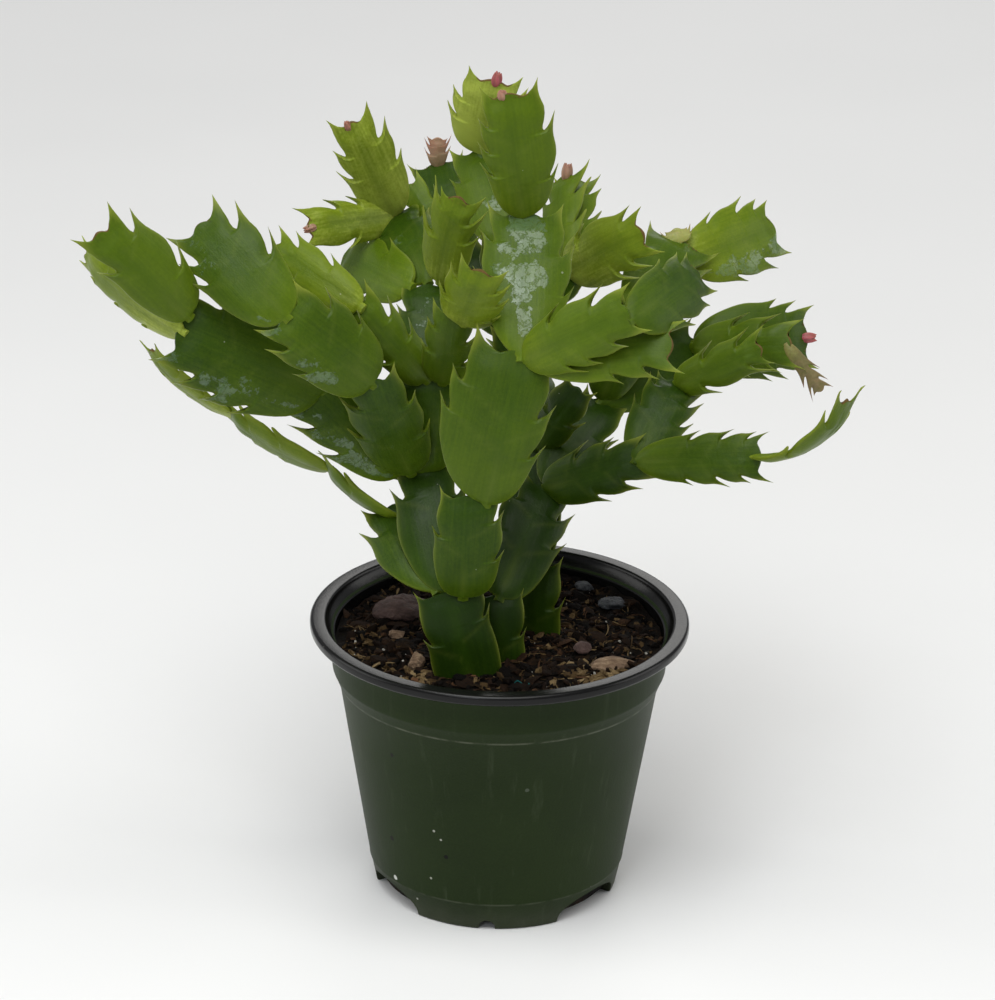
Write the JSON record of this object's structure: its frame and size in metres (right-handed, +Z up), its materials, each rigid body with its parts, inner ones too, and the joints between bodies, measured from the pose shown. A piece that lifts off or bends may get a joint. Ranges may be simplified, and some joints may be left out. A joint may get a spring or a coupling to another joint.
{
  "type": "potted holiday cactus",
  "caption": "Holiday cactus with flat, claw-edged green stem segments branching from the soil of a round tapered nursery pot.",
  "frame": {"origin": "centre of the flat underside of the pot", "axes": "+Z up along the axis of the pot, -Y towards the viewer of the front, +X to the right of that view"},
  "size_m": [0.2274, 0.1612, 0.2567],
  "materials": {
    "pad_young": "satin, young yellow-green stem",
    "pad_green": "waxy gloss, mid green stem",
    "pad_dark": "waxy gloss, dark green older stem",
    "new_growth": "soft pink and bronze buds",
    "pot": "semi-matt moulded dark green, black glossy rim",
    "soil": "moist peat and bark fibres",
    "bark_red": "rough red-brown bark",
    "bark_tan": "rough tan wood chip",
    "stone": "rough dark grey stone"
  },
  "bodies": {
    "root": {"bark_knob": "bark_tan", "bark_red": "bark_red", "bark_red_small": "bark_red", "bark_tan_left": "bark_tan", "bark_tan_right": "bark_tan", "bud_back_left_side": "new_growth", "bud_back_left_up": "new_growth", "bud_crown_right": "new_growth", "bud_crown_top": "new_growth", "bud_front_top": "new_growth", "bud_right_far": "new_growth", "chip_grey": "stone", "chip_slate": "stone", "pot": "pot", "shoot_back_high": "pad_green", "shoot_back_left": "pad_green", "shoot_back_left_low": "pad_green", "shoot_back_low": "pad_green", "shoot_back_side": "pad_green", "shoot_centre": "pad_green", "shoot_core": "pad_dark", "shoot_crown": "pad_young", "shoot_crown_left": "pad_green", "shoot_crown_right": "pad_young", "shoot_folded": "pad_young", "shoot_front": "pad_green", "shoot_front_right": "pad_young", "shoot_left": "pad_green", "shoot_low_left": "pad_green", "shoot_mid_left": "pad_green", "shoot_right_back": "pad_green", "shoot_right_far": "pad_green", "shoot_right_inner": "pad_dark", "shoot_right_low": "pad_dark", "soil": "soil", "stem_back": "pad_dark", "stem_front": "pad_dark", "stem_middle": "pad_dark", "trunk_left": "pad_dark", "young_crown_left": "new_growth", "young_right_back": "new_growth", "young_right_far": "new_growth"}
  },
  "joints": []
}
